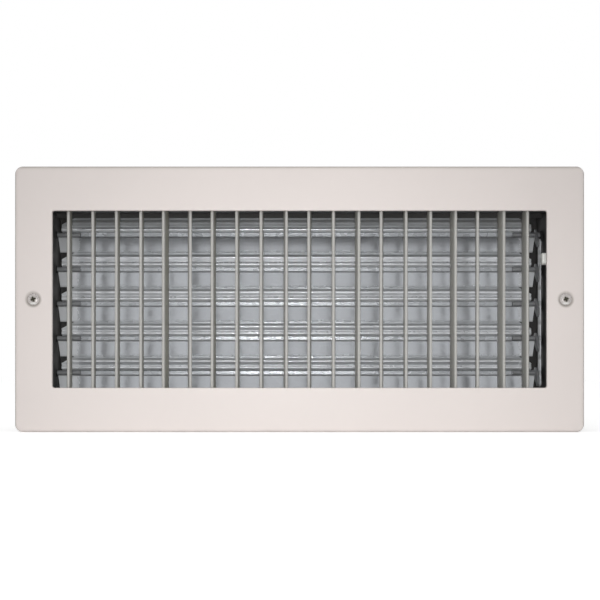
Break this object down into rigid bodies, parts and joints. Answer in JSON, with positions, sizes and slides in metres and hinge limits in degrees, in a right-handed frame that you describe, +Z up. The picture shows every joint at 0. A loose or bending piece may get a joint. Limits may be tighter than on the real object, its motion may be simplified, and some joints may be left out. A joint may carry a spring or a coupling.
{
  "type": "wall supply air register with damper",
  "caption": "Rectangular wall vent cover with upright aerofoil blades that turn one by one, and a level-blade volume damper behind them worked by a link bar and lever.",
  "frame": {"origin": "midway between the two fixing screws, in the plane of the wall", "axes": "+X along the length, to the right seen from the room; +Y into the wall, along the screws and the neck; +Z up"},
  "size_m": [0.45, 0.0665, 0.21],
  "materials": {
    "face_paint": "semi-gloss",
    "blade_paint": "satin",
    "galvanised_sheet": "satin",
    "neck_black": "matt",
    "zinc_plate": "bright",
    "white_nylon": "satin",
    "black_nylon": "matt"
  },
  "bodies": {
    "register": {"bearing_strip_bottom": "black_nylon", "bearing_strip_top": "black_nylon", "blade_rail_bottom": "neck_black", "blade_rail_top": "neck_black", "corner_rivets": "zinc_plate", "damper_bushes_left": "black_nylon", "damper_bushes_right": "black_nylon", "damper_stop_bottom": "neck_black", "damper_stop_top": "neck_black", "face_plate": "face_paint", "fixing_screws": "zinc_plate", "neck_bottom": "neck_black", "neck_left": "neck_black", "neck_right": "neck_black", "neck_top": "neck_black"},
    "blade_01": {"front_blade_01": "blade_paint"},
    "blade_02": {"front_blade_02": "blade_paint"},
    "blade_03": {"front_blade_03": "blade_paint"},
    "blade_04": {"front_blade_04": "blade_paint"},
    "blade_05": {"front_blade_05": "blade_paint"},
    "blade_06": {"front_blade_06": "blade_paint"},
    "blade_07": {"front_blade_07": "blade_paint"},
    "blade_08": {"front_blade_08": "blade_paint"},
    "blade_09": {"front_blade_09": "blade_paint"},
    "blade_10": {"front_blade_10": "blade_paint"},
    "blade_11": {"front_blade_11": "blade_paint"},
    "blade_12": {"front_blade_12": "blade_paint"},
    "blade_13": {"front_blade_13": "blade_paint"},
    "blade_14": {"front_blade_14": "blade_paint"},
    "blade_15": {"front_blade_15": "blade_paint"},
    "blade_16": {"front_blade_16": "blade_paint"},
    "blade_17": {"front_blade_17": "blade_paint"},
    "blade_18": {"front_blade_18": "blade_paint"},
    "blade_19": {"front_blade_19": "blade_paint"},
    "blade_20": {"front_blade_20": "blade_paint"},
    "damper_1": {"damper_blade_1": "galvanised_sheet", "damper_pivot_1": "zinc_plate", "damper_crank_1": "zinc_plate"},
    "damper_2": {"damper_blade_2": "galvanised_sheet", "damper_pivot_2": "zinc_plate", "damper_crank_2": "zinc_plate"},
    "damper_3": {"damper_blade_3": "galvanised_sheet", "damper_pivot_3": "zinc_plate", "damper_crank_3": "zinc_plate"},
    "damper_4": {"damper_blade_4": "galvanised_sheet", "damper_pivot_4": "zinc_plate", "damper_crank_4": "zinc_plate"},
    "damper_5": {"damper_blade_5": "galvanised_sheet", "damper_pivot_5": "zinc_plate", "damper_crank_5": "zinc_plate"},
    "link": {"link_bar": "galvanised_sheet", "lever_tip": "white_nylon"}
  },
  "joints": [
    {"name": "blade_01_turn", "type": "hinge", "parent": "register", "child": "blade_01", "pos_m": [-0.1839, 0.0085, 0], "axis": [0, 0, 1], "range_deg": [-42, 38]},
    {"name": "blade_02_turn", "type": "hinge", "parent": "register", "child": "blade_02", "pos_m": [-0.1647, 0.0085, 0], "axis": [0, 0, 1], "range_deg": [-43, 37]},
    {"name": "blade_03_turn", "type": "hinge", "parent": "register", "child": "blade_03", "pos_m": [-0.1455, 0.0085, 0], "axis": [0, 0, 1], "range_deg": [-40, 40]},
    {"name": "blade_04_turn", "type": "hinge", "parent": "register", "child": "blade_04", "pos_m": [-0.1263, 0.0085, 0], "axis": [0, 0, 1], "range_deg": [-41, 39]},
    {"name": "blade_05_turn", "type": "hinge", "parent": "register", "child": "blade_05", "pos_m": [-0.1071, 0.0085, 0], "axis": [0, 0, 1], "range_deg": [-33, 47]},
    {"name": "blade_06_turn", "type": "hinge", "parent": "register", "child": "blade_06", "pos_m": [-0.0879, 0.0085, 0], "axis": [0, 0, 1], "range_deg": [-48, 32]},
    {"name": "blade_07_turn", "type": "hinge", "parent": "register", "child": "blade_07", "pos_m": [-0.0687, 0.0085, 0], "axis": [0, 0, 1], "range_deg": [-35, 45]},
    {"name": "blade_08_turn", "type": "hinge", "parent": "register", "child": "blade_08", "pos_m": [-0.0495, 0.0085, 0], "axis": [0, 0, 1], "range_deg": [-37, 43]},
    {"name": "blade_09_turn", "type": "hinge", "parent": "register", "child": "blade_09", "pos_m": [-0.0303, 0.0085, 0], "axis": [0, 0, 1], "range_deg": [-38, 42]},
    {"name": "blade_10_turn", "type": "hinge", "parent": "register", "child": "blade_10", "pos_m": [-0.0111, 0.0085, 0], "axis": [0, 0, 1], "range_deg": [-45, 35]},
    {"name": "blade_11_turn", "type": "hinge", "parent": "register", "child": "blade_11", "pos_m": [0.0081, 0.0085, 0], "axis": [0, 0, 1], "range_deg": [-35, 45]},
    {"name": "blade_12_turn", "type": "hinge", "parent": "register", "child": "blade_12", "pos_m": [0.0273, 0.0085, 0], "axis": [0, 0, 1], "range_deg": [-38, 42]},
    {"name": "blade_13_turn", "type": "hinge", "parent": "register", "child": "blade_13", "pos_m": [0.0465, 0.0085, 0], "axis": [0, 0, 1], "range_deg": [-45, 35]},
    {"name": "blade_14_turn", "type": "hinge", "parent": "register", "child": "blade_14", "pos_m": [0.0657, 0.0085, 0], "axis": [0, 0, 1], "range_deg": [-34, 46]},
    {"name": "blade_15_turn", "type": "hinge", "parent": "register", "child": "blade_15", "pos_m": [0.0849, 0.0085, 0], "axis": [0, 0, 1], "range_deg": [-39, 41]},
    {"name": "blade_16_turn", "type": "hinge", "parent": "register", "child": "blade_16", "pos_m": [0.1041, 0.0085, 0], "axis": [0, 0, 1], "range_deg": [-41, 39]},
    {"name": "blade_17_turn", "type": "hinge", "parent": "register", "child": "blade_17", "pos_m": [0.1233, 0.0085, 0], "axis": [0, 0, 1], "range_deg": [-45, 35]},
    {"name": "blade_18_turn", "type": "hinge", "parent": "register", "child": "blade_18", "pos_m": [0.1425, 0.0085, 0], "axis": [0, 0, 1], "range_deg": [-34, 46]},
    {"name": "blade_19_turn", "type": "hinge", "parent": "register", "child": "blade_19", "pos_m": [0.1617, 0.0085, 0], "axis": [0, 0, 1], "range_deg": [-45, 35]},
    {"name": "blade_20_turn", "type": "hinge", "parent": "register", "child": "blade_20", "pos_m": [0.1809, 0.0085, 0], "axis": [0, 0, 1], "range_deg": [-42, 38]},
    {"name": "damper_1_turn", "type": "hinge", "parent": "register", "child": "damper_1", "pos_m": [0, 0.04, 0.0555], "axis": [-1, 0, 0], "range_deg": [0, 80]},
    {"name": "damper_2_turn", "type": "hinge", "parent": "register", "child": "damper_2", "pos_m": [0, 0.04, 0.027], "axis": [-1, 0, 0], "range_deg": [0, 80]},
    {"name": "damper_3_turn", "type": "hinge", "parent": "register", "child": "damper_3", "pos_m": [0, 0.04, -0.0015], "axis": [-1, 0, 0], "range_deg": [0, 80]},
    {"name": "damper_4_turn", "type": "hinge", "parent": "register", "child": "damper_4", "pos_m": [0, 0.04, -0.03], "axis": [-1, 0, 0], "range_deg": [0, 80]},
    {"name": "damper_5_turn", "type": "hinge", "parent": "register", "child": "damper_5", "pos_m": [0, 0.04, -0.0585], "axis": [-1, 0, 0], "range_deg": [0, 80]},
    {"name": "link_swing", "type": "hinge", "parent": "damper_2", "child": "link", "pos_m": [0, 0.03081, 0.01929], "axis": [-1, 0, 0], "range_deg": [-80, 0]}
  ],
  "couplings": [
    {"joint": "damper_1_turn", "follows": "damper_2_turn", "ratio": 1},
    {"joint": "damper_3_turn", "follows": "damper_2_turn", "ratio": 1},
    {"joint": "damper_4_turn", "follows": "damper_2_turn", "ratio": 1},
    {"joint": "damper_5_turn", "follows": "damper_2_turn", "ratio": 1},
    {"joint": "link_swing", "follows": "damper_2_turn", "ratio": -1}
  ]
}
